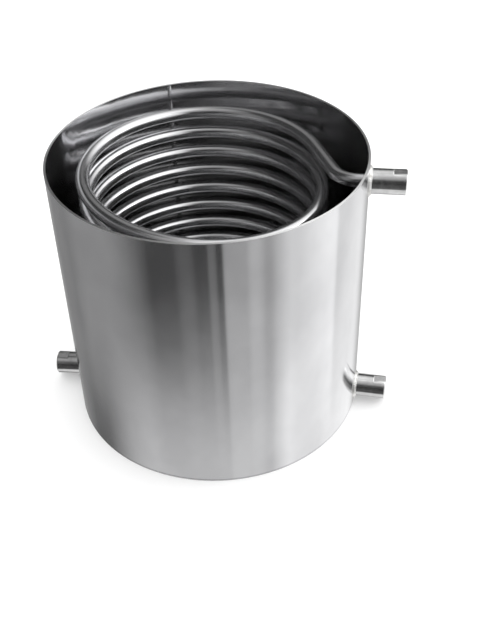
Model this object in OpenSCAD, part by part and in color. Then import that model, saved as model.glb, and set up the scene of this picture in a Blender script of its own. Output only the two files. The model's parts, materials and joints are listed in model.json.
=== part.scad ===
// Coil heat exchanger: an open stainless shell on a flat bottom plate, with one bent tube coiled
// inside it. The ends of the tube run through the shell into two sockets, and a third socket,
// low on the other side, serves the liquid in the shell. Millimetres, +Z up, floor at Z = 0.
// The tube is drawn as two leads and the front and back halves of each turn, which meet end to end.

/* [Shell] */
// Outside diameter of the shell
shell_od = 275; // [240:1:340]
// Thickness of the shell's rolled sheet
shell_wall = 2; // [1:0.5:4]
// Height from the floor to the rim
shell_height = 260; // [200:1:360]
// Thickness of the bottom plate that the shell stands on
bottom_thickness = 2; // [1.5:0.5:5]
// Direction of the shell's lengthwise seam, seen from above
seam_angle = 104; // [60:1:150]
// Width of the seam's bead inside the shell
seam_width = 4; // [2:0.5:8]
// Height of the seam's bead above the sheet
seam_height = 0.5; // [0.3:0.1:1.5]
// Leg of the weld between the bottom plate and the shell
bottom_weld_leg = 2; // [1:0.5:3]

/* [Coil] */
// Outside diameter of the coil's tube
tube_od = 12; // [10:0.5:14]
// Wall thickness of the coil's tube
tube_wall = 1; // [0.8:0.1:2]
// Mean gap between the coil's outside and the shell's inside
coil_gap = 25.5; // [22:0.5:32]
// Number of whole turns of the coil
coil_turns = 10; // [6:1:13]
// Depth of the top turn's centre below the rim
coil_depth = 21.5; // [18:0.5:40]
// Distance of the coil's centre from the shell's, to the right
coil_shift_x = -4.5; // [-8:0.5:4]
// Distance of the coil's centre from the shell's, to the back
coil_shift_y = 10.5; // [0:0.5:12]
// Radius of the bends that lead from the coil to the sockets
bend_radius = 22; // [16:0.5:26]
// Angle round the coil from where its tube leaves it at the top to the upper socket
upper_lead_angle = 25; // [20:0.5:30]
// Angle round the coil from where its tube leaves it at the bottom to the lower socket
lower_lead_angle = 30; // [20:0.5:35]

/* [Sockets] */
// Outside diameter of a socket
socket_od = 22; // [20:0.5:26]
// Distance across a socket's two wrench flats
socket_flats = 19.5; // [18:0.5:20]
// Length of the wrench flats
flat_length = 11.5; // [6:0.5:15]
// Bore of a socket's thread, at the crests
thread_bore = 15; // [14.4:0.2:16]
// Depth of the thread from the socket's mouth
thread_depth = 16; // [12:0.5:18]
// Chamfer at a socket's mouth
socket_chamfer = 0.8; // [0.4:0.1:1.5]
// Leg of the weld around a socket
socket_weld_leg = 2.4; // [1.5:0.1:4]
// Direction of the upper socket of the coil, seen from above
upper_angle = -10.5; // [-25:0.5:10]
// Reach of the upper socket from the shell
upper_reach = 31; // [26:0.5:40]
// Direction of the lower socket of the coil, seen from above
lower_angle = -14.5; // [-25:0.5:10]
// Reach of the lower socket from the shell
lower_reach = 29.5; // [26:0.5:40]
// Direction of the shell's own socket, seen from above
shell_socket_angle = 172; // [140:0.5:220]
// Reach of the shell's own socket from the shell
shell_socket_reach = 27; // [24:0.5:40]

/* [Clearances] */
// Gap around the tube in a socket's seat and in the shell
tube_clearance = 0.1; // [0.05:0.05:0.3]
// Depth of the weld that seals the tube's end in a socket
tube_weld_depth = 1.5; // [1:0.1:3]
// Gap between the seam's bead and the curved sheet behind it
seam_clearance = 0.05; // [0:0.01:0.2]
// Height of the low sockets' welds above the floor
floor_clearance = 0.1; // [0:0.1:5]

/* [Hidden] */
$fn = 96;
// Facets on the shell's large curves
shell_fn = 360;
function half_turn_name(turn, side) = str("coil_turn_", turn, "_", side);

shell_r = shell_od / 2;
shell_inner_r = shell_r - shell_wall;
tube_r = tube_od / 2;
tube_inner_r = tube_r - tube_wall;
seat_r = tube_r + tube_clearance;
socket_r = socket_od / 2;
socket_weld_r = socket_r + socket_weld_leg;

coil_r = shell_inner_r - coil_gap - tube_r;
coil_centre = [coil_shift_x, coil_shift_y];
upper_level = shell_height - coil_depth;
lowest_level = floor_clearance + socket_weld_r;

// Directions from the coil's centre in which the tube leaves the coil, at its top and its bottom
upper_leaving = upper_angle + upper_lead_angle;
lower_leaving = 360 + lower_angle - lower_lead_angle;

function direction(angle) = [cos(angle), sin(angle)];

// The corner where a tube that leaves the coil would meet a socket's axis, seen from above. Depth is
// half the coil's size from front to back, which its slope makes a little more than half its width.
function leaving_point(leaving, depth) = coil_centre + [coil_r * cos(leaving), depth * sin(leaving)];
function leaving_heading(leaving, depth) = [-coil_r * sin(leaving), depth * cos(leaving)];
function corner_share(leaving, depth, angle) =
    -cross(leaving_point(leaving, depth), direction(angle))
    / cross(leaving_heading(leaving, depth), direction(angle));
function corner(leaving, depth, angle) =
    leaving_point(leaving, depth)
    + corner_share(leaving, depth, angle) * leaving_heading(leaving, depth);

// Turns by which the coil goes on down after its last level half, as far as the lower corner
function last_turns(depth) =
    (1 + (corner(lower_leaving, depth, lower_angle)[0] - coil_shift_x) / coil_r) / 2;

// A back half turn is level, and a front half turn slopes down by one pitch, so it is a little larger
coil_pitch = (upper_level - lowest_level) / (coil_turns + last_turns(coil_r));
front_r = norm([coil_r, coil_pitch / 2]);
front_slope = atan2(coil_pitch / 2, coil_r);
lower_level = upper_level - coil_pitch * (coil_turns + last_turns(front_r));

// The upper lead bends in the level of the top turn, and the lower lead bends out of the coil's slope.
// A run is the tube's length from the coil to a bend's corner, a turn is the angle of the bend, and a
// tail is the length from the bend to the tube's end in a socket.
upper_run = -coil_r * corner_share(upper_leaving, coil_r, upper_angle);
upper_turn = 90 - upper_lead_angle;
lower_run = front_r * corner_share(lower_leaving, front_r, lower_angle);
lower_turn = acos(
    sin(lower_angle) * cos(lower_leaving)
    - cos(lower_angle) * sin(lower_leaving) * cos(front_slope)
);
lower_twist = atan2(
    -cos(lower_angle) * sin(front_slope),
    cos(lower_angle) * cos(lower_leaving) * cos(front_slope) + sin(lower_angle) * sin(lower_leaving)
);
upper_corner_r = norm(corner(upper_leaving, coil_r, upper_angle));
lower_corner_r = norm(corner(lower_leaving, front_r, lower_angle));
upper_bend = bend_radius * tan(upper_turn / 2);
lower_bend = bend_radius * tan(lower_turn / 2);
upper_end_r = shell_r + upper_reach - thread_depth - tube_weld_depth;
lower_end_r = shell_r + lower_reach - thread_depth - tube_weld_depth;
upper_tail = upper_end_r - upper_corner_r - upper_bend;
lower_tail = lower_end_r - lower_corner_r - lower_bend;

// Extra length on a cutting solid, so that its ends stand clear of what it cuts
cut = 1;
// How far a slim piece of tube laps into its neighbours, and how much thinner its wall is on each side
joint_lap = 0.5;
joint_hair = 0.02;

steel = [0.74, 0.74, 0.75];
dark_steel = [0.60, 0.60, 0.62];
bright_steel = [0.84, 0.84, 0.85];
weld_steel = [0.68, 0.68, 0.70];

// A lead is drawn piece after piece. Each piece starts at the origin and heads along +Y, and its
// children start where it ends. Every second piece is slim: its wall is thinner by a hair on both sides
// and laps into the walls of the pieces next to it, so that they join.
module tube_section(slim) {
    hair = slim ? joint_hair : 0;
    difference() {
        circle(r = tube_r - hair, $fn = 32);
        circle(r = tube_inner_r + hair, $fn = 32);
    }
}

module straight_then(length, slim = false) {
    lap = slim ? joint_lap : 0;
    translate([0, -lap, 0])
        rotate([-90, 0, 0])
            linear_extrude(height = length + 2 * lap)
                tube_section(slim);
    translate([0, length, 0])
        children();
}

// Tube round the origin, from the direction +X through an angle
module tube_arc(radius, angle, slim) {
    lap = slim ? asin(joint_lap / radius) : 0;
    rotate_extrude(angle = angle + 2 * lap, start = -lap)
        translate([radius, 0])
            tube_section(slim);
}

module bend_left_then(radius, angle, slim = false) {
    translate([-radius, 0, 0]) {
        tube_arc(radius, angle, slim);
        rotate([0, 0, angle])
            translate([radius, 0, 0])
                children();
    }
}

module bend_right_then(radius, angle, slim = false) {
    translate([radius, 0, 0]) {
        mirror([1, 0, 0])
            tube_arc(radius, angle, slim);
        rotate([0, 0, -angle])
            translate([-radius, 0, 0])
                children();
    }
}

// Turns the plane of what follows about the tube's own line
module roll(angle) {
    rotate([0, angle, 0])
        children();
}

// Places its children where a turn starts, at the coil's left, heading to the front
module at_turn_start(turn) {
    translate([coil_shift_x - coil_r, coil_shift_y, upper_level - (turn - 1) * coil_pitch])
        rotate([0, 0, 180])
            children();
}

// Front half of a turn, which slopes down by one pitch from the coil's left to its right
module front_half_turn(turn) {
    color(bright_steel)
        at_turn_start(turn)
            roll(-front_slope)
                bend_left_then(front_r, 180);
}

// Back half of a turn, level from the coil's right to its left
module back_half_turn(turn) {
    color(bright_steel)
        translate([coil_shift_x + coil_r, coil_shift_y, upper_level - turn * coil_pitch])
            bend_left_then(coil_r, 180);
}

// The tube from the upper socket in to the coil, and along the back to where its first turn starts
module upper_coil_lead() {
    color(bright_steel)
        rotate([0, 0, upper_angle])
            translate([upper_end_r - joint_lap, 0, upper_level])
                rotate([0, 0, 90])
                    straight_then(upper_tail - joint_lap, slim = true)
                        bend_right_then(bend_radius, upper_turn)
                            straight_then(upper_run - upper_bend, slim = true)
                                bend_left_then(coil_r, 180 - upper_leaving);
}

// The tube from the last turn round the front of the coil, and out to the lower socket
module lower_coil_lead() {
    color(bright_steel)
        at_turn_start(coil_turns + 1)
            roll(-front_slope)
                bend_left_then(front_r, lower_leaving - 180)
                    straight_then(lower_run - lower_bend, slim = true)
                        roll(lower_twist)
                            bend_right_then(bend_radius, lower_turn)
                                straight_then(lower_tail - joint_lap, slim = true);
}

// Hole through the shell on a socket's axis
module shell_hole(angle, level) {
    rotate([0, 0, angle])
        translate([shell_inner_r - cut, 0, level])
            rotate([0, 90, 0])
                cylinder(r = seat_r, h = shell_wall + 2 * cut);
}

module shell() {
    color(steel)
        difference() {
            translate([0, 0, bottom_thickness])
                cylinder(r = shell_r, h = shell_height - bottom_thickness, $fn = shell_fn);
            translate([0, 0, bottom_thickness - cut])
                cylinder(r = shell_inner_r, h = shell_height + 2 * cut, $fn = shell_fn);
            shell_hole(upper_angle, upper_level);
            shell_hole(lower_angle, lower_level);
            shell_hole(shell_socket_angle, lower_level);
        }
}

module shell_seam_weld() {
    seam_span = 2 * asin(seam_width / 2 / shell_inner_r);
    seam_foot = bottom_thickness + bottom_weld_leg;
    color(weld_steel)
        rotate([0, 0, seam_angle - seam_span / 2])
            rotate_extrude(angle = seam_span)
                translate([shell_inner_r - seam_height, seam_foot])
                    square([seam_height - seam_clearance, shell_height - seam_foot]);
}

module bottom_plate() {
    color(steel)
        cylinder(r = shell_r, h = bottom_thickness, $fn = shell_fn);
}

module bottom_weld() {
    color(weld_steel)
        rotate_extrude()
            translate([shell_inner_r, bottom_thickness])
                polygon([[0, 0], [0, bottom_weld_leg], [-bottom_weld_leg, 0]]);
}

// Places its children, which are drawn along +Z from the shell's centre, on a socket's axis
module on_socket_axis(angle, level) {
    rotate([0, 0, angle])
        translate([0, 0, level])
            rotate([0, 90, 0])
                children();
}

// Turned socket, cut to sit on the shell, with a thread at its mouth and a seat for the tube behind it
module socket(angle, level, reach) {
    mouth = shell_r + reach;
    color(dark_steel)
        difference() {
            on_socket_axis(angle, level)
                difference() {
                    union() {
                        translate([0, 0, shell_inner_r])
                            cylinder(r = socket_r, h = shell_wall + reach - socket_chamfer);
                        translate([0, 0, mouth - socket_chamfer])
                            cylinder(r1 = socket_r, r2 = socket_r - socket_chamfer, h = socket_chamfer);
                    }
                    translate([0, 0, mouth - thread_depth])
                        cylinder(r = thread_bore / 2, h = thread_depth + cut);
                    translate([0, 0, shell_inner_r - cut])
                        cylinder(r = seat_r, h = shell_wall + reach + cut - thread_depth / 2);
                    translate([0, 0, mouth - flat_length])
                        difference() {
                            cylinder(r = socket_od, h = flat_length + cut);
                            translate([-socket_flats / 2, -socket_od - cut, -cut])
                                cube([socket_flats, 2 * socket_od + 2 * cut, flat_length + 3 * cut]);
                        }
                }
            translate([0, 0, level - socket_od])
                cylinder(r = shell_r, h = 2 * socket_od, $fn = shell_fn);
        }
}

// Fillet of weld between a socket and the shell, whose foot is cut to the shell's curve
module socket_weld(angle, level) {
    color(weld_steel)
        difference() {
            on_socket_axis(angle, level)
                translate([0, 0, shell_inner_r])
                    rotate_extrude()
                        polygon([
                            [socket_r, 0],
                            [socket_weld_r + shell_wall, 0],
                            [socket_r, shell_wall + socket_weld_leg]
                        ]);
            translate([0, 0, level - socket_od])
                cylinder(r = shell_r, h = 2 * socket_od, $fn = shell_fn);
        }
}

// Ring of weld on the tube's end, at the bottom of a socket's thread
module tube_end_weld(angle, level, reach) {
    color(weld_steel)
        on_socket_axis(angle, level)
            translate([0, 0, shell_r + reach - thread_depth - tube_weld_depth])
                difference() {
                    cylinder(r = seat_r, h = tube_weld_depth);
                    translate([0, 0, -cut])
                        cylinder(r = tube_inner_r, h = tube_weld_depth + 2 * cut);
                }
}

shell();
shell_seam_weld();
bottom_plate();
bottom_weld();
upper_coil_lead();
for (turn = [1 : coil_turns]) {
    front_half_turn(turn);
    back_half_turn(turn);
}
lower_coil_lead();
socket(upper_angle, upper_level, upper_reach);  // upper_coil_socket
socket(lower_angle, lower_level, lower_reach);  // lower_coil_socket
socket(shell_socket_angle, lower_level, shell_socket_reach);  // shell_socket
socket_weld(upper_angle, upper_level);  // upper_coil_socket_weld
socket_weld(lower_angle, lower_level);  // lower_coil_socket_weld
socket_weld(shell_socket_angle, lower_level);  // shell_socket_weld
tube_end_weld(upper_angle, upper_level, upper_reach);  // upper_tube_end_weld
tube_end_weld(lower_angle, lower_level, lower_reach);  // lower_tube_end_weld
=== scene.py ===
# %% [markdown]
# # A shell and coil heat exchanger
#
# The object is a small open vessel of stainless sheet with one bent tube coiled inside it. Three threaded
# sockets are welded to the sheet. The construction comes in as a fixed frame, in metres, with the floor at
# Z = 0, and this lesson gives every surface its finish. Where a plain solid lacks what the eye expects, such
# as a thread or the ripples of a weld, a new mesh takes its place.

# %% Load the frame
import json
import math
from math import cos, pi, radians, sin, sqrt

import bpy
from mathutils import Matrix, Vector


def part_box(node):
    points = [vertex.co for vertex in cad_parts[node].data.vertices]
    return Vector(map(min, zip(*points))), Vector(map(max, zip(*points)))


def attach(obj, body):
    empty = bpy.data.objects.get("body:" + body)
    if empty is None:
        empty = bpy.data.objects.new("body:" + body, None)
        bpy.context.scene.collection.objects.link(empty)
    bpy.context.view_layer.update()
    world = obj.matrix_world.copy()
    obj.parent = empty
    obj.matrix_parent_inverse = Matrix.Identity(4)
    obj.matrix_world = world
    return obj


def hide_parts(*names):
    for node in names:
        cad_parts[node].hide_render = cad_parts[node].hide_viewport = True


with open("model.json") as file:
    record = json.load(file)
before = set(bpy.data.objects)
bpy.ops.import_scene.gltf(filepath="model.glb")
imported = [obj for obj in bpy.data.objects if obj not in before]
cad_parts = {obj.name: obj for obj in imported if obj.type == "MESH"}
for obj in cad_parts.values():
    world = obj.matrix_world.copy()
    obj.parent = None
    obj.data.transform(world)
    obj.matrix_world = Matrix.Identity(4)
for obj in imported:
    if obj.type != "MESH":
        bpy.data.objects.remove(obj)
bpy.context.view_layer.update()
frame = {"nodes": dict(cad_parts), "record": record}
record = frame["record"]
MM = 0.001

# %% [markdown]
# ## Measures
#
# Nothing is typed twice if the frame already knows it. The shell's box gives its radius and its height, the
# boxes of the turns give the coil's centre, radius and pitch, and the mounts in the record say where each
# thread is and which way it points. Only sizes that no box tells exactly are named: the wall of the sheet,
# and the radius of the tube, whose facets make its box a little too low.

# %% Read the shell and the coil from the frame
SHELL_WALL = 2 * MM
TUBE_R = 6 * MM

shell_low, shell_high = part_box("shell")
shell_r = (shell_high.y - shell_low.y) / 2
shell_inner_r = shell_r - SHELL_WALL
shell_foot = shell_low.z
rim_z = shell_high.z

half_turns = [name for name in frame["nodes"] if name.startswith("coil_turn_")]
turn_count = len(half_turns) // 2
back_low, back_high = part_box("coil_turn_1_back")
coil_r = (back_high.x - back_low.x) / 2 - TUBE_R
coil_x = (back_high.x + back_low.x) / 2
coil_y = back_high.y - coil_r - TUBE_R
coil_pitch = back_high.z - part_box("coil_turn_2_back")[1].z
coil_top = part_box("upper_coil_lead")[1].z - TUBE_R
print("coil: %d turns, radius %.1f mm, pitch %.2f mm" % (turn_count, coil_r / MM, coil_pitch / MM))


# %% Read the sockets from the record
def read_socket(name, mount_name):
    """Angle, height, mouth and thread of a socket, from the mount at the middle of its thread."""
    mount = next(m for m in record["mounts"] if m["name"] == mount_name)
    place = Vector(mount["pos_m"])
    depth = mount["dims"]["length_mm"] * MM
    return {
        "name": name,
        "angle": math.degrees(math.atan2(place.y, place.x)),
        "z": place.z,
        "mouth": math.hypot(place.x, place.y) + depth / 2,
        "thread_r": mount["dims"]["r_mm"] * MM,
        "thread_depth": depth,
    }


upper = read_socket("upper_coil_socket", "upper_coil_thread")
lower = read_socket("lower_coil_socket", "lower_coil_thread")
drain = read_socket("shell_socket", "shell_thread")
SOCKETS = [upper, lower, drain]
print("sockets at", [round(socket["angle"], 1) for socket in SOCKETS], "degrees")

# %% [markdown]
# ## The camera
#
# The photo looks down on the vessel from the front, at about 39 degrees, with a slight turn and tilt of the
# hand that held the camera. The picture's frame is 480 by 640, so the long side of the sensor is the
# picture's height. A camera could be aimed with a constraint, but three angles and a place are easier to
# correct by hand. It is set first because the light is judged through it.

# %% Camera
CAMERA_PLACE = (0, -0.70496, 0.65258)
CAMERA_DOWN = radians(39.37)
CAMERA_YAW = radians(1.44)
CAMERA_ROLL = radians(3.11)
CAMERA_LENS = 52.88
SENSOR = 36
NEAREST = 0.05
FARTHEST = 50


def camera_matrix():
    """Where the camera stands, and its right, up and backward directions as columns."""
    forward = Vector((0, cos(CAMERA_DOWN), -sin(CAMERA_DOWN)))
    up = Vector((0, sin(CAMERA_DOWN), cos(CAMERA_DOWN)))
    right = Vector((1, 0, 0))
    turned_right = right * cos(CAMERA_YAW) - forward * sin(CAMERA_YAW)
    turned_forward = right * sin(CAMERA_YAW) + forward * cos(CAMERA_YAW)
    x_axis = turned_right * cos(CAMERA_ROLL) - up * sin(CAMERA_ROLL)
    y_axis = turned_right * sin(CAMERA_ROLL) + up * cos(CAMERA_ROLL)
    axes = Matrix((x_axis, y_axis, -turned_forward)).transposed()
    return Matrix.Translation(CAMERA_PLACE) @ axes.to_4x4()


camera_data = bpy.data.cameras.new("photo_camera")
camera_data.lens = CAMERA_LENS
camera_data.sensor_width = SENSOR
camera_data.sensor_fit = "AUTO"
camera_data.clip_start = NEAREST
camera_data.clip_end = FARTHEST
camera = bpy.data.objects.new("photo_camera", camera_data)
camera.matrix_world = camera_matrix()
bpy.context.scene.collection.objects.link(camera)
bpy.context.scene.camera = camera
print("camera:", [round(x, 3) for x in camera.location])

# %% [markdown]
# ## Helpers for materials
#
# Every finish below is a small network of nodes. A few helpers keep each network short enough to read. The
# main one makes a node, sets its values and links what has to be linked. The others are built on it: they
# squeeze a value from one range into another, make a noise that is stretched along one direction, do one sum,
# blend two colours, or bump the surface. A value that is the same all over goes straight on the shader's
# socket.

# %% Nodes
def new_material(name):
    """An empty node material with its shader wired to the output."""
    material = bpy.data.materials.new(name)
    material.use_nodes = True
    tree = material.node_tree
    tree.nodes.clear()
    output = tree.nodes.new("ShaderNodeOutputMaterial")
    shader = tree.nodes.new("ShaderNodeBsdfPrincipled")
    tree.links.new(shader.outputs["BSDF"], output.inputs["Surface"])
    return material, tree, shader


def put(tree, kind, values=None, **settings):
    """A node with its settings, and with each named input set to a value or linked to a socket."""
    node = tree.nodes.new(kind)
    for key, value in settings.items():
        setattr(node, key, value)
    for key, value in (values or {}).items():
        if isinstance(value, bpy.types.NodeSocket):
            tree.links.new(value, node.inputs[key])
        else:
            node.inputs[key].default_value = value
    return node


def dress(piece, material):
    """Gives a piece one material on all its faces."""
    piece.data.materials.clear()
    piece.data.materials.append(material)


print("nodes can be made and linked")


# %% Values, noises and colours
def squeeze(tree, value, low, high, to_low, to_high):
    """The value moved from one range to another, and held inside it."""
    return put(
        tree, "ShaderNodeMapRange",
        {"Value": value, "From Min": low, "From Max": high, "To Min": to_low, "To Max": to_high},
    ).outputs["Result"]


def stretched_noise(tree, coordinates, stretch, detail=4.0, roughness=0.6):
    """Noise whose grain is scaled by its own number along each axis of the coordinates."""
    scaled = put(tree, "ShaderNodeMapping", {"Vector": coordinates, "Scale": stretch}).outputs["Vector"]
    return put(
        tree, "ShaderNodeTexNoise",
        {"Vector": scaled, "Scale": 1.0, "Detail": detail, "Roughness": roughness},
    ).outputs["Fac"]


def math_node(tree, operation, first, second=0.0):
    """One sum of two values."""
    return put(tree, "ShaderNodeMath", {0: first, 1: second}, operation=operation).outputs[0]


def vector_node(tree, operation, first, second=(0, 0, 0), out="Vector"):
    """One sum of two vectors. Out is Value where the answer is a number, such as a length."""
    return put(tree, "ShaderNodeVectorMath", {0: first, 1: second}, operation=operation).outputs[out]


def blend(tree, share, first, second):
    """A colour between two, by a share from 0 to 1. Each is a triple or a socket."""
    first, second = ((*c, 1) if isinstance(c, tuple) else c for c in (first, second))
    return put(tree, "ShaderNodeMix", {0: share, 6: first, 7: second}, data_type="RGBA").outputs[2]


def bump(tree, height, strength, distance):
    """A bumped normal from a height."""
    return put(
        tree, "ShaderNodeBump", {"Height": height, "Strength": strength, "Distance": distance}
    ).outputs["Normal"]


print("material helpers are ready")

# %% [markdown]
# ## Satin sheet
#
# The shell is rolled from cold rolled sheet. It isn't brushed: it is a soft mirror that shows broad upright
# bands of light and dark. An image could carry its marks, but noise in the shell's own coordinates needs no
# file and stays sharp at any distance. Three noises do the work. One with long grain round the shell gives
# the rolling lines, broad clouds stand for handling, and slow waves stand for what rolling and heat leave in
# thin sheet.

# %% Places and noises of the sheet
ROLLING_GRAIN = (3, 1, 2600)
CLOUD_GRAIN = (14, 14, 9)
WAVE_GRAIN = (5, 1, 30)


def sheet_places(tree):
    """Where a point of the sheet is, and what the three noises give there."""
    place = put(tree, "ShaderNodeTexCoord").outputs["Object"]
    axes = put(tree, "ShaderNodeSeparateXYZ", {"Vector": place})
    height = axes.outputs["Z"]
    turn = math_node(tree, "ARCTAN2", axes.outputs["Y"], axes.outputs["X"])
    round_way = put(tree, "ShaderNodeCombineXYZ", {"X": turn, "Z": height}).outputs["Vector"]
    across = vector_node(tree, "MULTIPLY", place, (1, 1, 0))
    return {
        "place": place,
        "radius": vector_node(tree, "LENGTH", across, out="Value"),
        "depth": math_node(tree, "SUBTRACT", rim_z, height),
        "rolling": stretched_noise(tree, round_way, ROLLING_GRAIN),
        "clouds": stretched_noise(tree, place, CLOUD_GRAIN, detail=3.0),
        "waves": stretched_noise(tree, round_way, WAVE_GRAIN, detail=2.0),
    }


print("sheet: grain round the shell", ROLLING_GRAIN)

# %% [markdown]
# One material serves both sides of the sheet and its edge, because the shell is one node. The distance from
# the axis tells the outside from the inside, and the depth under the rim tells the rest: inside, the sheet's
# colour darkens below the coil's top as painted shade, and the cut edge of the rim is rough, with a paler
# colour that is a painted highlight. A faint straw tint is left where the welder's heat reached the sheet
# around each socket.

# %% Regions of the sheet
INSIDE_TO = 0.3 * MM
OUTSIDE_FROM = 0.5 * MM
EDGE_FROM = 0.05 * MM
EDGE_TO = 0.15 * MM
HEAT_FROM = 13 * MM
HEAT_TO = 21 * MM
HEAT_SHARE = 0.75


def socket_foot(socket):
    """The point where a socket's axis meets the shell's outside."""
    turn = radians(socket["angle"])
    return Vector((shell_r * cos(turn), shell_r * sin(turn), socket["z"]))


def sheet_regions(tree, at):
    """Shares from 0 to 1 that say how far a point is outside, on the rim's edge or heated by a weld."""
    heat = 0.0
    for socket in SOCKETS:
        distance = vector_node(tree, "DISTANCE", at["place"], socket_foot(socket), out="Value")
        heat = math_node(tree, "MAXIMUM", squeeze(tree, distance, HEAT_FROM, HEAT_TO, HEAT_SHARE, 0), heat)
    return {
        "outside": squeeze(
            tree, at["radius"], shell_inner_r + INSIDE_TO, shell_inner_r + OUTSIDE_FROM, 0, 1
        ),
        "edge": squeeze(tree, at["depth"], EDGE_FROM, EDGE_TO, 1, 0),
        "heat": heat,
    }


print("heat reaches %.0f mm from each socket's axis" % (HEAT_TO / MM))

# %% [markdown]
# The colour, the roughness and the waves read those shares. The waves are nearly all inside, where the photo
# shows crooked streaks. Outside, its bands run straight up and down. The rolling marks run round the shell,
# so they smear a reflection up and down much more than sideways: in the shader that is anisotropy about the
# upright axis.

# %% Satin sheet
SHEET_LIGHT = (0.66, 0.66, 0.67)
SHEET_DARK = (0.57, 0.57, 0.58)
SHEET_INSIDE = (0.52, 0.52, 0.53)
# Painted shade: the dark grey that the inside of the sheet takes below the coil's top, in place of the shade
# deep inside the vessel.
SHEET_PAINTED_SHADE = (0.22, 0.22, 0.22)
# Painted highlight: the paler grey of the rim's cut edge, which shows as a light line along the rim.
SHEET_EDGE_PAINTED_HIGHLIGHT = (0.80, 0.80, 0.80)
SHEET_HEATED = (0.43, 0.42, 0.40)
# Depths under the rim over which the painted shade comes in.
PAINTED_SHADE_FROM = 28 * MM
PAINTED_SHADE_TO = 56 * MM
ROLLED_ROUGH = (0.08, 0.10)
CLOUD_ROUGH = 0.02
OUTSIDE_ROUGH = 0.02
HEAT_ROUGH = 0.10
EDGE_ROUGH = 0.50
WAVE_HEIGHT = 0.3 * MM
WAVE_OUTSIDE = 0.06
STEEL_METALLIC = 0.97
SHEET_SMEAR = 0.85
QUARTER_TURN = 0.25


def sheet_colour(tree, at, part):
    outside = blend(tree, squeeze(tree, at["clouds"], 0.35, 0.65, 0, 1), SHEET_DARK, SHEET_LIGHT)
    # Painted shade: inside the shell the colour darkens with depth under the rim.
    inside = blend(tree, squeeze(tree, at["depth"], PAINTED_SHADE_FROM, PAINTED_SHADE_TO, 0, 1), SHEET_INSIDE, SHEET_PAINTED_SHADE)
    colour = blend(tree, part["outside"], inside, outside)
    # Painted highlight: the rim's cut edge gets a paler colour besides its rougher finish.
    colour = blend(tree, part["edge"], colour, SHEET_EDGE_PAINTED_HIGHLIGHT)
    patchy = math_node(tree, "MULTIPLY", part["heat"], squeeze(tree, at["clouds"], 0.3, 0.6, 0.5, 1))
    return blend(tree, patchy, colour, SHEET_HEATED)


def sheet_roughness(tree, at, part):
    rough = squeeze(tree, at["rolling"], 0.3, 0.7, *ROLLED_ROUGH)
    more = [
        squeeze(tree, at["clouds"], 0.4, 0.7, 0, CLOUD_ROUGH),
        math_node(tree, "MULTIPLY", part["outside"], OUTSIDE_ROUGH),
        math_node(tree, "MULTIPLY", part["heat"], HEAT_ROUGH),
    ]
    for share in more:
        rough = math_node(tree, "ADD", rough, share)
    return math_node(tree, "MAXIMUM", rough, math_node(tree, "MULTIPLY", part["edge"], EDGE_ROUGH))


def make_sheet_steel():
    material, tree, shader = new_material("satin_sheet")
    at = sheet_places(tree)
    part = sheet_regions(tree, at)
    tree.links.new(sheet_colour(tree, at, part), shader.inputs["Base Color"])
    tree.links.new(sheet_roughness(tree, at, part), shader.inputs["Roughness"])
    strength = squeeze(tree, at["radius"], shell_inner_r, shell_r, 1, WAVE_OUTSIDE)
    waves = math_node(tree, "MULTIPLY", at["waves"], strength)
    tree.links.new(bump(tree, waves, 1.0, WAVE_HEIGHT), shader.inputs["Normal"])
    shader.inputs["Metallic"].default_value = STEEL_METALLIC
    shader.inputs["Anisotropic"].default_value = SHEET_SMEAR
    shader.inputs["Anisotropic Rotation"].default_value = QUARTER_TURN
    tangent = put(tree, "ShaderNodeTangent", direction_type="RADIAL", axis="Z").outputs["Tangent"]
    tree.links.new(tangent, shader.inputs["Tangent"])
    return material


sheet_steel = make_sheet_steel()
dress(frame["nodes"]["shell"], sheet_steel)
print("satin sheet on the shell")

# %% [markdown]
# ## Flat sheet
#
# The bottom is a disc of the same sheet, but nothing bent it, so its rolling lines run straight across it.
# The shell's finish can't serve here: it follows the angle round the axis, and on a disc that draws a star.
# So the disc has a finish of its own, with the lines along one axis and no smear.

# %% Flat sheet
PLATE_LIGHT = (0.54, 0.54, 0.55)
PLATE_DARK = (0.46, 0.46, 0.47)
PLATE_GRAIN = (6, 700, 1)
PLATE_CLOUDS = (14, 14, 14)
PLATE_ROUGH = (0.20, 0.28)
PLATE_LINE = 0.01 * MM


def make_plate_steel():
    material, tree, shader = new_material("flat_sheet")
    place = put(tree, "ShaderNodeTexCoord").outputs["Object"]
    rolling = stretched_noise(tree, place, PLATE_GRAIN, detail=3.0)
    clouds = stretched_noise(tree, place, PLATE_CLOUDS, detail=3.0)
    colour = blend(tree, squeeze(tree, clouds, 0.35, 0.65, 0, 1), PLATE_DARK, PLATE_LIGHT)
    tree.links.new(colour, shader.inputs["Base Color"])
    tree.links.new(squeeze(tree, rolling, 0.3, 0.7, *PLATE_ROUGH), shader.inputs["Roughness"])
    tree.links.new(bump(tree, rolling, 0.1, PLATE_LINE), shader.inputs["Normal"])
    shader.inputs["Metallic"].default_value = STEEL_METALLIC
    return material


dress(frame["nodes"]["bottom_plate"], make_plate_steel())
print("flat sheet on the bottom plate")

# %% [markdown]
# ## Skinning a grid
#
# The tube, the sockets and the welds are all skins over rows of points: each row is one ring or one outline,
# and neighbouring rows are joined by four-sided faces. Modifiers could make some of them, but one function
# makes all. It also lays a UV map, with the row along U and the place in the row along V, so that a finish
# can follow the work: along a drawn tube, or round a turned socket.

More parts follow.
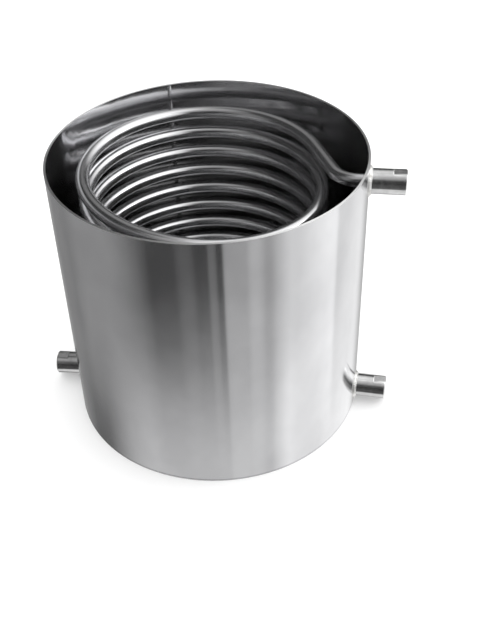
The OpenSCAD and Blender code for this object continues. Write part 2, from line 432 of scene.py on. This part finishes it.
# %% Skin helper
def skin(name, rows, along=None, closed_rows=False, closed_ends=False, sharp=35):
    """A smooth mesh over rows of points. A row is a closed outline. The rows may close into a ring, or else
    their two ends may be closed by a face. Along holds each row's U, and an edge that turns by more degrees
    than sharp stays crisp."""
    count = len(rows[0])
    points = [point for row in rows for point in row]
    faces = []
    uvs = []
    along = along or [index / len(rows) for index in range(len(rows) + 1)]
    last = len(rows) if closed_rows else len(rows) - 1
    for i in range(last):
        below = i * count
        above = ((i + 1) % len(rows)) * count
        for j in range(count):
            k = (j + 1) % count
            faces.append((below + j, below + k, above + k, above + j))
            left, right = j / count, (j + 1) / count
            uvs += [(along[i], left), (along[i], right), (along[i + 1], right), (along[i + 1], left)]
    if closed_ends:
        first = tuple(reversed(range(count)))
        final = tuple(range((len(rows) - 1) * count, len(rows) * count))
        faces += [first, final]
        uvs += [(along[0], 0)] * count + [(along[len(rows) - 1], 0)] * count
    mesh = bpy.data.meshes.new(name)
    mesh.from_pydata([tuple(point) for point in points], [], faces)
    layer = mesh.uv_layers.new(name="work")
    for loop, uv in zip(layer.data, uvs):
        loop.uv = uv
    mesh.polygons.foreach_set("use_smooth", [True] * len(mesh.polygons))
    mesh.set_sharp_from_angle(angle=radians(sharp))
    mesh.update()
    piece = bpy.data.objects.new(name, mesh)
    bpy.context.scene.collection.objects.link(piece)
    return piece


def fit(piece, material, slot, *nodes):
    """Dresses a new piece, lets it ride on the only body and hides the nodes that it stands for."""
    dress(piece, material)
    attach(piece, "root")
    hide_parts(*nodes)
    print("%s: %d faces" % (piece.name, len(piece.data.polygons)))


print("skins can be made and fitted")

# %% [markdown]
# ## The coiled tube
#
# One tube runs from the upper socket in to the coil, round and down in ten turns, and out to the lower
# socket. A Bezier curve with a round bevel would do, but its handles only come near to true arcs. Instead a
# small walker bends the tube as a workshop does: it goes straight, bends left or right by an angle, or rolls
# about its own line, and leaves a station behind at each step.

# %% A walker along the tube
ARC_STEP = 3
STRAIGHT_STEP = 6 * MM


class TubeWalk:
    """Where the tube is, as a matrix that heads along its own +Y, and every station that it passed."""

    def __init__(self, start):
        self.here = start
        self.rolled = 0
        self.gone = 0
        self.stations = [(start.copy(), 0, 0)]

    def note(self):
        self.stations.append((self.here.copy(), self.rolled, self.gone))

    def straight(self, length):
        steps = max(1, round(length / STRAIGHT_STEP))
        for _ in range(steps):
            self.here = self.here @ Matrix.Translation((0, length / steps, 0))
            self.gone += length / steps
            self.note()

    def bend(self, radius, angle, way):
        """Way is 1 for a bend to the left and -1 for a bend to the right."""
        steps = max(1, round(angle / ARC_STEP))
        step = radians(angle / steps)
        out = Matrix.Translation((-way * radius, 0, 0))
        back = Matrix.Translation((way * radius, 0, 0))
        for _ in range(steps):
            self.here = self.here @ out @ Matrix.Rotation(way * step, 4, "Z") @ back
            self.gone += radius * step
            self.note()

    def roll(self, angle):
        self.here = self.here @ Matrix.Rotation(radians(angle), 4, "Y")
        self.rolled += radians(angle)


print("the walker takes %d degrees or %.0f mm at a step" % (ARC_STEP, STRAIGHT_STEP / MM))

# %% [markdown]
# Each lead leaves the coil along its tangent and turns into its socket with one tight bend. The corner where
# the two straight lines would meet gives the lengths on both sides of that bend. The back half of each turn
# is level, and the front half slopes down by one pitch, so it lies on a slightly larger circle.

# %% Bend the whole tube
BEND_R = 22 * MM
UPPER_LEAD_ANGLE = 25
LOWER_LEAD_ANGLE = 30
TUBE_WELD_DEPTH = 1.5 * MM

front_r = math.hypot(coil_r, coil_pitch / 2)
front_slope = math.degrees(math.atan2(coil_pitch / 2, coil_r))


def corner_share(leaving, depth, angle):
    """How far along its heading a tube that leaves the coil meets a socket's axis, and where that is."""
    place = Vector((coil_x + coil_r * cos(leaving), coil_y + depth * sin(leaving)))
    heading = Vector((-coil_r * sin(leaving), depth * cos(leaving)))
    axis = Vector((cos(angle), sin(angle)))
    share = -place.cross(axis) / heading.cross(axis)
    return share, (place + heading * share).length


def tube_end(socket):
    """How far from the shell's axis the tube ends, behind a socket's thread and the seal weld there."""
    return socket["mouth"] - socket["thread_depth"] - TUBE_WELD_DEPTH


def start_upper_lead():
    """From the upper socket straight in, round the tight bend and into the coil."""
    angle = radians(upper["angle"])
    leaving = radians(upper["angle"] + UPPER_LEAD_ANGLE)
    share, corner_r = corner_share(leaving, coil_r, angle)
    turn = 90 - UPPER_LEAD_ANGLE
    cut_off = BEND_R * math.tan(radians(turn / 2))
    end_r = tube_end(upper)
    end = Matrix.Rotation(angle, 4, "Z") @ Matrix.Translation((end_r, 0, coil_top))
    walk = TubeWalk(end @ Matrix.Rotation(pi / 2, 4, "Z"))
    walk.straight(end_r - corner_r - cut_off)
    walk.bend(BEND_R, turn, -1)
    walk.straight(-coil_r * share - cut_off)
    walk.bend(coil_r, 180 - math.degrees(leaving), 1)
    return walk


def wind_turns(walk):
    """Every turn, as a sloping front half and a level back half."""
    for _ in range(turn_count):
        walk.roll(-front_slope)
        walk.bend(front_r, 180, 1)
        walk.roll(-front_slope)
        walk.bend(coil_r, 180, 1)


def finish_lower_lead(walk):
    """Down along one more front, out of the coil, round the tight bend and into the lower socket."""
    angle = radians(lower["angle"])
    leaving = radians(360 + lower["angle"] - LOWER_LEAD_ANGLE)
    slope = radians(front_slope)
    share, corner_r = corner_share(leaving, front_r, angle)
    turn = math.acos(sin(angle) * cos(leaving) - cos(angle) * sin(leaving) * cos(slope))
    twist = math.atan2(
        -cos(angle) * sin(slope), cos(angle) * cos(leaving) * cos(slope) + sin(angle) * sin(leaving)
    )
    cut_off = BEND_R * math.tan(turn / 2)
    walk.roll(-front_slope)
    walk.bend(front_r, math.degrees(leaving) - 180, 1)
    walk.straight(front_r * share - cut_off)
    walk.roll(math.degrees(twist))
    walk.bend(BEND_R, math.degrees(turn), -1)
    walk.straight(tube_end(lower) - corner_r - cut_off)


tube_walk = start_upper_lead()
wind_turns(tube_walk)
finish_lower_lead(tube_walk)
stations = tube_walk.stations
print("tube: %.2f m long, %d stations" % (stations[-1][2], len(stations)))

# %% [markdown]
# A ring of points at each station makes one skin. At each end the skin turns in at the tube's wall and runs
# some way back along the bore, so that a look into a socket's mouth shows a real hole.

# %% Skin the tube
TUBE_WALL = 1 * MM
RING_POINTS = 24
BORE_SHOWN = 40 * MM


def ring(station, radius):
    """A ring of points round the tube at a station, with no twist from the rolls."""
    here, rolled, _ = station
    points = []
    for j in range(RING_POINTS):
        turn = 2 * pi * j / RING_POINTS + rolled
        points.append(here @ Vector((radius * cos(turn), 0, radius * sin(turn))))
    return points


def tube_rows():
    """Outer rings from end to end, and at both ends some rings of the bore."""
    length = stations[-1][2]
    bore_r = TUBE_R - TUBE_WALL
    first = [s for s in stations if s[2] <= BORE_SHOWN]
    final = [s for s in stations if s[2] >= length - BORE_SHOWN]
    rows = [ring(s, bore_r) for s in reversed(first)]
    rows += [ring(s, TUBE_R) for s in stations]
    rows += [ring(s, bore_r) for s in reversed(final)]
    along = [s[2] for s in [*reversed(first), *stations, *reversed(final)]]
    return rows, along


rows, along = tube_rows()
coil = skin("coil_tube", rows, along, closed_ends=True)
print("tube skin: %d rings" % len(rows))

# %% [markdown]
# ## Bright drawn tube
#
# Tube like this is drawn through a die, which leaves it bright, with faint lines along its length. The UV map
# of the skin runs along the tube, so a noise that is long in U and fine in V gives those lines wherever the
# tube bends. Slow noise stands for the dull places where the tube was held while it was wound.

# %% Bright drawn tube
TUBE_LIGHT = (0.66, 0.66, 0.67)
TUBE_DARK = (0.56, 0.56, 0.57)
DRAWN_GRAIN = (12, 90, 1)
HELD_GRAIN = (45, 45, 45)
DRAWN_ROUGH = (0.15, 0.20)
HELD_ROUGH = 0.08
DRAWN_LINE = 0.03 * MM


def make_tube_steel():
    material, tree, shader = new_material("bright_tube")
    work = put(tree, "ShaderNodeUVMap", uv_map="work").outputs["UV"]
    place = put(tree, "ShaderNodeTexCoord").outputs["Object"]
    lines = stretched_noise(tree, work, DRAWN_GRAIN, detail=3.0)
    held = stretched_noise(tree, place, HELD_GRAIN, detail=2.0)
    colour = blend(tree, squeeze(tree, lines, 0.3, 0.7, 0, 1), TUBE_DARK, TUBE_LIGHT)
    tree.links.new(colour, shader.inputs["Base Color"])
    rough = squeeze(tree, lines, 0.3, 0.7, *DRAWN_ROUGH)
    rough = math_node(tree, "ADD", rough, squeeze(tree, held, 0.5, 0.75, 0, HELD_ROUGH))
    tree.links.new(rough, shader.inputs["Roughness"])
    tree.links.new(bump(tree, lines, 0.08, DRAWN_LINE), shader.inputs["Normal"])
    shader.inputs["Metallic"].default_value = STEEL_METALLIC
    return material


fit(coil, make_tube_steel(), "coil_steel", "upper_coil_lead", *half_turns, "lower_coil_lead")

# %% [markdown]
# ## The sockets
#
# A socket is turned from bar, with two flats milled on it for a wrench, and tapped with a pipe thread. It
# could be a lathe shape with a boolean for the flats, but booleans leave poor faces. Here the outline of each
# ring is worked out point by point: a ring near the mouth is held back to the flats, and the first ring
# follows the curve of the shell.

# %% Points round a socket's axis
SOCKET_R = 11 * MM
FLAT_HALF = 9.75 * MM
SOCKET_POINTS = 96


def on_axis(socket, axial, radius, turn):
    """A point at a distance along a socket's axis and from it. Turn 0 is level and a quarter turn is up."""
    side = radius * cos(turn)
    angle = radians(socket["angle"])
    x, y = axial * cos(angle) - side * sin(angle), axial * sin(angle) + side * cos(angle)
    return Vector((x, y, socket["z"] + radius * sin(turn)))


def shell_at(radius, turn):
    """Distance along a socket's axis to the shell's outside, at a place off the axis."""
    return sqrt(shell_r ** 2 - (radius * cos(turn)) ** 2)


def flatted(radius, turn):
    """The radius held back to the two flats, which lie above and below the axis."""
    rise = abs(sin(turn))
    return radius if radius * rise <= FLAT_HALF else FLAT_HALF / rise


def turns(count):
    """Evenly spaced angles, once round."""
    return [2 * pi * j / count for j in range(count)]


def round_axis(socket, axial, radius):
    """A plain ring round a socket's axis."""
    return [on_axis(socket, axial, radius, t) for t in turns(SOCKET_POINTS)]


print("a socket is %.0f mm across, and %.1f mm across its flats" % (2 * SOCKET_R / MM, 2 * FLAT_HALF / MM))

# %% [markdown]
# The cutter that mills a flat leaves a small fillet at its end. The rings through the fillet step in by a
# quarter circle, so the edge of the flat catches the light as on the real socket.

# %% Outside of a socket
SEAT_CLEARANCE = 0.1 * MM
SEAT_R = TUBE_R + SEAT_CLEARANCE
FLAT_LENGTH = 11.5 * MM
FLAT_FILLET = 0.7 * MM
FLAT_RUN_IN = 6 * FLAT_FILLET
FILLET_STEPS = 4
SOCKET_CHAMFER = 0.8 * MM


def outside_rows(socket):
    """Rings from the seat at the shell, over the outside to the mouth."""
    mouth = socket["mouth"]
    flat_end = mouth - FLAT_LENGTH
    rows = []
    for radius in (SEAT_R, SOCKET_R):
        rows.append([on_axis(socket, shell_at(radius, t), radius, t) for t in turns(SOCKET_POINTS)])
    rows.append(round_axis(socket, flat_end - FLAT_RUN_IN, SOCKET_R))
    rows.append(round_axis(socket, flat_end - FLAT_FILLET, SOCKET_R))
    for step in range(FILLET_STEPS + 1):
        share = step / FILLET_STEPS
        axial = flat_end + FLAT_FILLET * (share - 0.5)
        depth = 1 - sqrt(1 - share ** 2)
        row = []
        for t in turns(SOCKET_POINTS):
            radius = SOCKET_R + (flatted(SOCKET_R, t) - SOCKET_R) * depth
            row.append(on_axis(socket, axial, radius, t))
        rows.append(row)
    for axial, radius in ((mouth - SOCKET_CHAMFER, SOCKET_R), (mouth, SOCKET_R - SOCKET_CHAMFER)):
        rows.append([on_axis(socket, axial, flatted(radius, t), t) for t in turns(SOCKET_POINTS)])
    return rows


print("outside of a socket: %d rings" % len(outside_rows(upper)))

# %% [markdown]
# The thread is part of the same skin. The bore's radius swings in and out along a helix: the place along the
# axis and the turn round it together say how deep the groove is.

# %% Thread of a socket
THREAD_PITCH = 1.34 * MM
THREAD_HEIGHT = 0.75 * MM
THREAD_STEPS = 10
CRISP_EDGE = 20


def thread_rows(socket):
    """Rings of the bore. The crests lie at the thread's radius, and the grooves run into the wall."""
    mouth, depth, crest = socket["mouth"], socket["thread_depth"], socket["thread_r"]
    rows = [round_axis(socket, mouth, crest + THREAD_HEIGHT)]
    steps = round(depth / THREAD_PITCH * THREAD_STEPS)
    for i in range(1, steps):
        inward = depth * i / steps
        row = []
        for t in turns(SOCKET_POINTS):
            phase = (inward / THREAD_PITCH + t / (2 * pi)) % 1
            groove = 1 - abs(2 * phase - 1)
            row.append(on_axis(socket, mouth - inward, crest + THREAD_HEIGHT * groove, t))
        rows.append(row)
    rows.append(round_axis(socket, mouth - depth, crest))
    rows.append(round_axis(socket, mouth - depth, SEAT_R))
    return rows


def make_socket(socket):
    rows = outside_rows(socket) + thread_rows(socket)
    return skin(socket["name"] + "_turned", rows, closed_rows=True, sharp=CRISP_EDGE)


sockets = [make_socket(socket) for socket in SOCKETS]
print("sockets:", [piece.name for piece in sockets])

# %% [markdown]
# ## Turned steel
#
# A lathe tool leaves a very fine spiral on the socket. Its grooves run round the socket, so they stretch a
# highlight along it, and anisotropy along the UV map does that. The grooves are too fine to model or to bump,
# so a noise that is fine along the axis and long around it only varies the roughness from ring to ring.

# %% Turned steel
TURNED_LIGHT = (0.80, 0.80, 0.80)
TURNED_DARK = (0.66, 0.66, 0.66)
TURNED_GRAIN = (420, 3, 1)
STAIN_GRAIN = (90, 90, 90)
TURNED_ROUGH = (0.20, 0.26)
TURNED_SMEAR = 0.7


def make_turned_steel():
    material, tree, shader = new_material("turned_steel")
    work = put(tree, "ShaderNodeUVMap", uv_map="work").outputs["UV"]
    place = put(tree, "ShaderNodeTexCoord").outputs["Object"]
    rings = stretched_noise(tree, work, TURNED_GRAIN, detail=2.0)
    stain = stretched_noise(tree, place, STAIN_GRAIN, detail=2.0)
    colour = blend(tree, squeeze(tree, stain, 0.35, 0.7, 0, 1), TURNED_LIGHT, TURNED_DARK)
    tree.links.new(colour, shader.inputs["Base Color"])
    tree.links.new(squeeze(tree, rings, 0.3, 0.7, *TURNED_ROUGH), shader.inputs["Roughness"])
    shader.inputs["Metallic"].default_value = 1
    shader.inputs["Anisotropic"].default_value = TURNED_SMEAR
    tangent = put(tree, "ShaderNodeTangent", direction_type="UV_MAP", uv_map="work").outputs["Tangent"]
    tree.links.new(tangent, shader.inputs["Tangent"])
    return material


turned_steel = make_turned_steel()
for socket, piece in zip(SOCKETS, sockets):
    fit(piece, turned_steel, "socket_steel", socket["name"])

# %% [markdown]
# ## The welds
#
# A weld is a row of small frozen puddles. From the side each looks like a thin crescent, so the bead's
# surface has ripples that lag behind in the middle. The ripples could be a bump map, but a highlight shows
# the truth, so they are modelled: one function gives the ripple across a bead, and it serves the beads round
# the sockets, the seam inside the shell and the ring at the bottom.

# %% Ripple of a bead
RIPPLE_LENGTH = 1.7 * MM
RIPPLE_DEPTH = 0.3 * MM
RIPPLE_LAG = 1.4
RIPPLE_SHARE = 0.7
DRIFT_LENGTH = 5.3 * RIPPLE_LENGTH
SWAY_LENGTH = 2.1 * RIPPLE_LENGTH
ACROSS = 9


def ripple(along, share):
    """How far the surface is held back at a place along a bead, and at a share of its width. The even wave
    drifts a little, because no hand is as even as that."""
    lag = RIPPLE_LAG * sin(pi * share)
    wave = 0.5 - 0.5 * cos(2 * pi * along / RIPPLE_LENGTH - lag)
    drift = 0.5 + 0.5 * sin(along / DRIFT_LENGTH + 2 * sin(along / SWAY_LENGTH))
    return RIPPLE_DEPTH * sin(pi * share) * (RIPPLE_SHARE * wave + (1 - RIPPLE_SHARE) * drift)


def shares():
    """Even shares of a bead's width, from 0 to 1."""
    return [k / (ACROSS - 1) for k in range(ACROSS)]


print("a ripple every %.1f mm" % (RIPPLE_LENGTH / MM))

# %% [markdown]
# The bead round a socket's foot follows the saddle where the two cylinders meet. Its face is a little hollow,
# which a power of the sine and the cosine gives. Its hidden sides lie just under the metal, so no gap shows.

# %% Beads round the sockets
SOCKET_WELD_LEG = 2.4 * MM
BEAD_BED = 0.15 * MM
BEAD_HOLLOW = 1.25
SOCKET_BEAD_SAMPLES = 7


def bead_face(leg, share):
    """How far the bead's face stands out along each of its two legs."""
    turn = share * pi / 2
    return leg * cos(turn) ** BEAD_HOLLOW, leg * sin(turn) ** BEAD_HOLLOW


def socket_bead_rows(socket):
    """Outlines of the bead, one for each step round the socket."""
    length = 2 * pi * (SOCKET_R + SOCKET_WELD_LEG / 2)
    count = round(length / RIPPLE_LENGTH) * SOCKET_BEAD_SAMPLES
    inner = SOCKET_R - BEAD_BED
    foot = SOCKET_R + SOCKET_WELD_LEG
    rows = []
    for t in turns(count):
        row = []
        for share in shares():
            leg = SOCKET_WELD_LEG - ripple(length * t / (2 * pi), share)
            out, lift = bead_face(leg, share)
            row.append(on_axis(socket, shell_at(SOCKET_R + out, t) + lift, SOCKET_R + out, t))
        row.append(on_axis(socket, shell_at(inner, t) + SOCKET_WELD_LEG, inner, t))
        row.append(on_axis(socket, shell_at(inner, t) - BEAD_BED, inner, t))
        row.append(on_axis(socket, shell_at(foot, t) - BEAD_BED, foot, t))
        rows.append(row)
    return rows


socket_beads = [
    skin(socket["name"] + "_bead", socket_bead_rows(socket), closed_rows=True) for socket in SOCKETS
]
print("beads round the sockets:", len(socket_beads))

# %% [markdown]
# The seam is where the two edges of the rolled sheet meet. It was ground flat outside, and inside it shows as
# a low bead from the bottom to the rim, with hardly a ripple left.

# %% Bead of the seam
SEAM_HEIGHT = 0.5 * MM
SEAM_WIDTH = 4 * MM
SEAM_SAMPLES = 6
SEAM_RIPPLE = 0.3

seam_low, seam_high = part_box("shell_seam_weld")
seam_middle = (seam_low + seam_high) / 2
seam_turn = math.atan2(seam_middle.y, seam_middle.x)


def round_shell(radius, turn, z):
    """A point at a distance from the shell's axis."""
    return Vector((radius * cos(turn), radius * sin(turn), z))


def seam_angle(share):
    """The angle at a share of the seam's width."""
    return seam_turn + SEAM_WIDTH * (share - 0.5) / shell_inner_r


def seam_rows():
    """Outlines of the seam's bead, from its foot to the rim."""
    height = seam_high.z - seam_low.z
    count = round(height / RIPPLE_LENGTH) * SEAM_SAMPLES
    rows = []
    for i in range(count + 1):
        z = seam_low.z + height * i / count
        row = []
        for share in shares():
            bulge = (SEAM_HEIGHT - SEAM_RIPPLE * ripple(z, share)) * sin(pi * share) ** 2
            row.append(round_shell(shell_inner_r - bulge, seam_angle(share), z))
        for share in (1, 0):
            row.append(round_shell(shell_inner_r + BEAD_BED, seam_angle(share), z))
        rows.append(row)
    return rows


seam_bead = skin("seam_bead", seam_rows(), closed_ends=True)
print("seam: %.0f mm high" % ((seam_high.z - seam_low.z) / MM))

# %% [markdown]
# The bottom plate is welded to the shell all round, in the corner inside. The bead is made like those round
# the sockets, with its two legs on the plate and on the shell.

# %% Bead of the bottom
BOTTOM_WELD_LEG = 2 * MM
BOTTOM_SAMPLES = 4


def bottom_rows():
    """Outlines of the ring of weld in the corner between the bottom plate and the shell."""
    length = 2 * pi * shell_inner_r
    count = round(length / RIPPLE_LENGTH) * BOTTOM_SAMPLES
    corner_r = shell_inner_r + BEAD_BED
    rows = []
    for t in turns(count):
        row = []
        for share in shares():
            inward, lift = bead_face(BOTTOM_WELD_LEG - ripple(length * t / (2 * pi), share), share)
            row.append(round_shell(shell_inner_r - inward, t, shell_foot + lift))
        row.append(round_shell(corner_r, t, shell_foot + BOTTOM_WELD_LEG))
        row.append(round_shell(corner_r, t, shell_foot - BEAD_BED))
        row.append(round_shell(shell_inner_r - BOTTOM_WELD_LEG, t, shell_foot - BEAD_BED))
        rows.append(row)
    return rows


bottom_bead = skin("bottom_bead", bottom_rows(), closed_rows=True)
print("bottom bead: %.0f mm round" % (2 * pi * shell_inner_r / MM))

# %% [markdown]
# ## Weld metal
#
# Fresh weld metal is bright, with patches that the heat has left a little darker and duller. One noise mixes
# both the tint and the roughness, so that what is tinted is also dull, and a finer one gives the skin its
# grain. The seam was ground together with the sheet, so it takes the sheet's finish.

# %% Weld metal
WELD_BRIGHT = (0.72, 0.72, 0.71)
WELD_TINT = (0.42, 0.41, 0.39)
PATCH_GRAIN = (260, 260, 260)
SKIN_GRAIN = (1800, 1800, 1800)
WELD_ROUGH = (0.24, 0.45)
SKIN_HEIGHT = 0.05 * MM


def make_weld_steel():
    material, tree, shader = new_material("weld_metal")
    place = put(tree, "ShaderNodeTexCoord").outputs["Object"]
    patches = stretched_noise(tree, place, PATCH_GRAIN, detail=4.0)
    grains = stretched_noise(tree, place, SKIN_GRAIN, detail=2.0)
    tint = squeeze(tree, patches, 0.45, 0.7, 0, 1)
    tree.links.new(blend(tree, tint, WELD_BRIGHT, WELD_TINT), shader.inputs["Base Color"])
    tree.links.new(squeeze(tree, patches, 0.35, 0.7, *WELD_ROUGH), shader.inputs["Roughness"])
    tree.links.new(bump(tree, grains, 0.2, SKIN_HEIGHT), shader.inputs["Normal"])
    shader.inputs["Metallic"].default_value = 1
    return material


weld_steel = make_weld_steel()
for socket, piece in zip(SOCKETS, socket_beads):
    fit(piece, weld_steel, "weld_steel", socket["name"] + "_weld")
fit(seam_bead, sheet_steel, "weld_steel", "shell_seam_weld")
fit(bottom_bead, weld_steel, "weld_steel", "bottom_weld")
for node in ("upper_tube_end_weld", "lower_tube_end_weld"):
    dress(frame["nodes"][node], weld_steel)

# %% [markdown]
# ## Floor
#
# The floor is a plain pale sheet. It takes the soft shadow that ties the vessel to the ground. The metal
# doesn't mirror it, because the room below gives the metal a ground of its own.

# %% Floor
FLOOR_SIZE = 12
FLOOR_DARK = (0.88, 0.88, 0.88)
FLOOR_LIGHT = (0.92, 0.92, 0.92)
FLOOR_CLOUDS = (3, 3, 3)


def make_floor_paint():
    material, tree, shader = new_material("pale_floor")
    place = put(tree, "ShaderNodeTexCoord").outputs["Object"]
    clouds = stretched_noise(tree, place, FLOOR_CLOUDS, detail=2.0)
    tree.links.new(blend(tree, clouds, FLOOR_DARK, FLOOR_LIGHT), shader.inputs["Base Color"])
    shader.inputs["Roughness"].default_value = 0.9
    shader.inputs["Specular IOR Level"].default_value = 0.1
    return material


def make_floor():
    half = FLOOR_SIZE / 2
    corners = [(-half, -half, 0), (half, -half, 0), (half, half, 0), (-half, half, 0)]
    mesh = bpy.data.meshes.new("floor")
    mesh.from_pydata(corners, [], [(0, 1, 2, 3)])
    floor = bpy.data.objects.new("floor", mesh)
    bpy.context.scene.collection.objects.link(floor)
    dress(floor, make_floor_paint())
    floor.visible_glossy = False


make_floor()
print("floor: %d m square" % FLOOR_SIZE)

# %% [markdown]
# ## Light
#
# Polished metal has no colour of its own: it shows the room. So the room is set with care, as a photographer
# sets cards round a bright pot. The floor and all dull things get an even pale dome. What the metal mirrors
# is a darker room, with soft windows above and pale cards on a dark ground. Both are one world: a glossy ray
# reads the second, and every other ray reads the first.
#
# The shell is seen from above, so its upright wall mirrors only the ground. Its upper part shows the ground
# far off, and its foot shows the ground near by. A card has a brightness for each. The tubes look up and show
# the windows.

# %% Cards and windows
DARK_ROOM = 0.03
CARDS = [
    # degrees to the right of the front, half width, soft edge, brightness far off, brightness near by
    (54, 46, 2, 0.42, 0.04),
    (97, 40, 16, 0.57, 0.78),
    (150, 30, 55, 0.50, 0.50),
    (-96, 14, 36, 0.31, 0.10),
    (-20, 2, 6, 0.07, 0.00),
    (-1, 2, 1.5, 0.13, 0.00),
    (30, 2, 5, 0.14, 0.05),
    (-10, 50, 48, 0.00, 0.76),
]
WINDOWS = [
    # degrees to the right of the front, degrees up, half width, soft edge, brightness
    (97, 42, 28, 26, 1.60),
    (42, 29, 17, 10, 1.10),
    (0, 70, 14, 20, 0.45),
    (180, 50, 10, 20, 0.25),
    (-50, 30, 6, 24, 0.20),
]
FAR_OFF = -0.645
NEAR_BY = -0.725
HORIZON = (-0.12, 0.12)


def glow(tree, way, right, up, half, soft, bright):
    """A soft round light in the room, as a brightness for each way that a ray may go."""
    turn, lift = radians(right), radians(up)
    middle = (sin(turn) * cos(lift), -cos(turn) * cos(lift), sin(lift))
    toward = vector_node(tree, "DOT_PRODUCT", way, middle, out="Value")
    return squeeze(tree, toward, cos(radians(half + soft)), cos(radians(half)), 0, bright)


def mirrored_room(tree):
    """The brightness of the room that the metal shows, for each way that a ray may go."""
    way = put(tree, "ShaderNodeTexCoord").outputs["Generated"]
    height = put(tree, "ShaderNodeSeparateXYZ", {"Vector": way}).outputs["Z"]
    level = vector_node(tree, "NORMALIZE", vector_node(tree, "MULTIPLY", way, (1, 1, 0)))
    far, near, sky = DARK_ROOM, DARK_ROOM, DARK_ROOM
    for right, half, soft, far_bright, near_bright in CARDS:
        far = math_node(tree, "ADD", glow(tree, level, right, 0, half, soft, far_bright), far)
        near = math_node(tree, "ADD", glow(tree, level, right, 0, half, soft, near_bright), near)
    for window in WINDOWS:
        sky = math_node(tree, "ADD", glow(tree, way, *window), sky)
    ground = blend(tree, squeeze(tree, height, NEAR_BY, FAR_OFF, 1, 0), far, near)
    return blend(tree, squeeze(tree, height, *HORIZON, 0, 1), ground, sky)


print("room: %d cards and %d windows" % (len(CARDS), len(WINDOWS)))

# %% [markdown]
# The world joins the two. It isn't sampled as a lamp, because the dome is even and the metal finds its cards
# by itself.

# %% World
DOME = 1.6


def make_world():
    world = bpy.data.worlds.new("studio")
    bpy.context.scene.world = world
    world.use_nodes = True
    tree = world.node_tree
    tree.nodes.clear()
    output = put(tree, "ShaderNodeOutputWorld")
    mirrored = put(tree, "ShaderNodeBackground", {"Color": mirrored_room(tree), "Strength": 1.0})
    even = put(tree, "ShaderNodeBackground", {"Color": (1, 1, 1, 1), "Strength": DOME})
    glossy = put(tree, "ShaderNodeLightPath").outputs["Is Glossy Ray"]
    both = put(tree, "ShaderNodeMixShader", {"Fac": glossy, 1: even.outputs[0], 2: mirrored.outputs[0]})
    tree.links.new(both.outputs[0], output.inputs["Surface"])
    world.cycles.sampling_method = "NONE"


make_world()
print("world: dome of %.1f" % DOME)

# %% [markdown]
# The soft box is a real lamp, because its shape shows on the tubes as a clean bright line and its light gives
# the floor a direction. The picture's own whites are kept by the standard view.

# %% Soft box
KEY_PLACE = (1.6, 0.15, 1.2)
KEY_SIZE = (0.9, 0.6)
KEY_POWER = 4


def soft_box(name, place, target, size, power):
    """A rectangular lamp at a place, facing a target."""
    lamp = bpy.data.lights.new(name, "AREA")
    lamp.shape = "RECTANGLE"
    lamp.size, lamp.size_y = size
    lamp.energy = power
    box = bpy.data.objects.new(name, lamp)
    box.location = place
    box.rotation_mode = "QUATERNION"
    box.rotation_quaternion = (Vector(target) - Vector(place)).to_track_quat("-Z", "Y")
    box.visible_camera = False
    bpy.context.scene.collection.objects.link(box)


vessel_middle = (0, 0, rim_z / 2)
soft_box("key_box", KEY_PLACE, vessel_middle, KEY_SIZE, KEY_POWER)
bpy.context.scene.view_settings.view_transform = "Standard"
print("one soft box of %d W" % KEY_POWER)
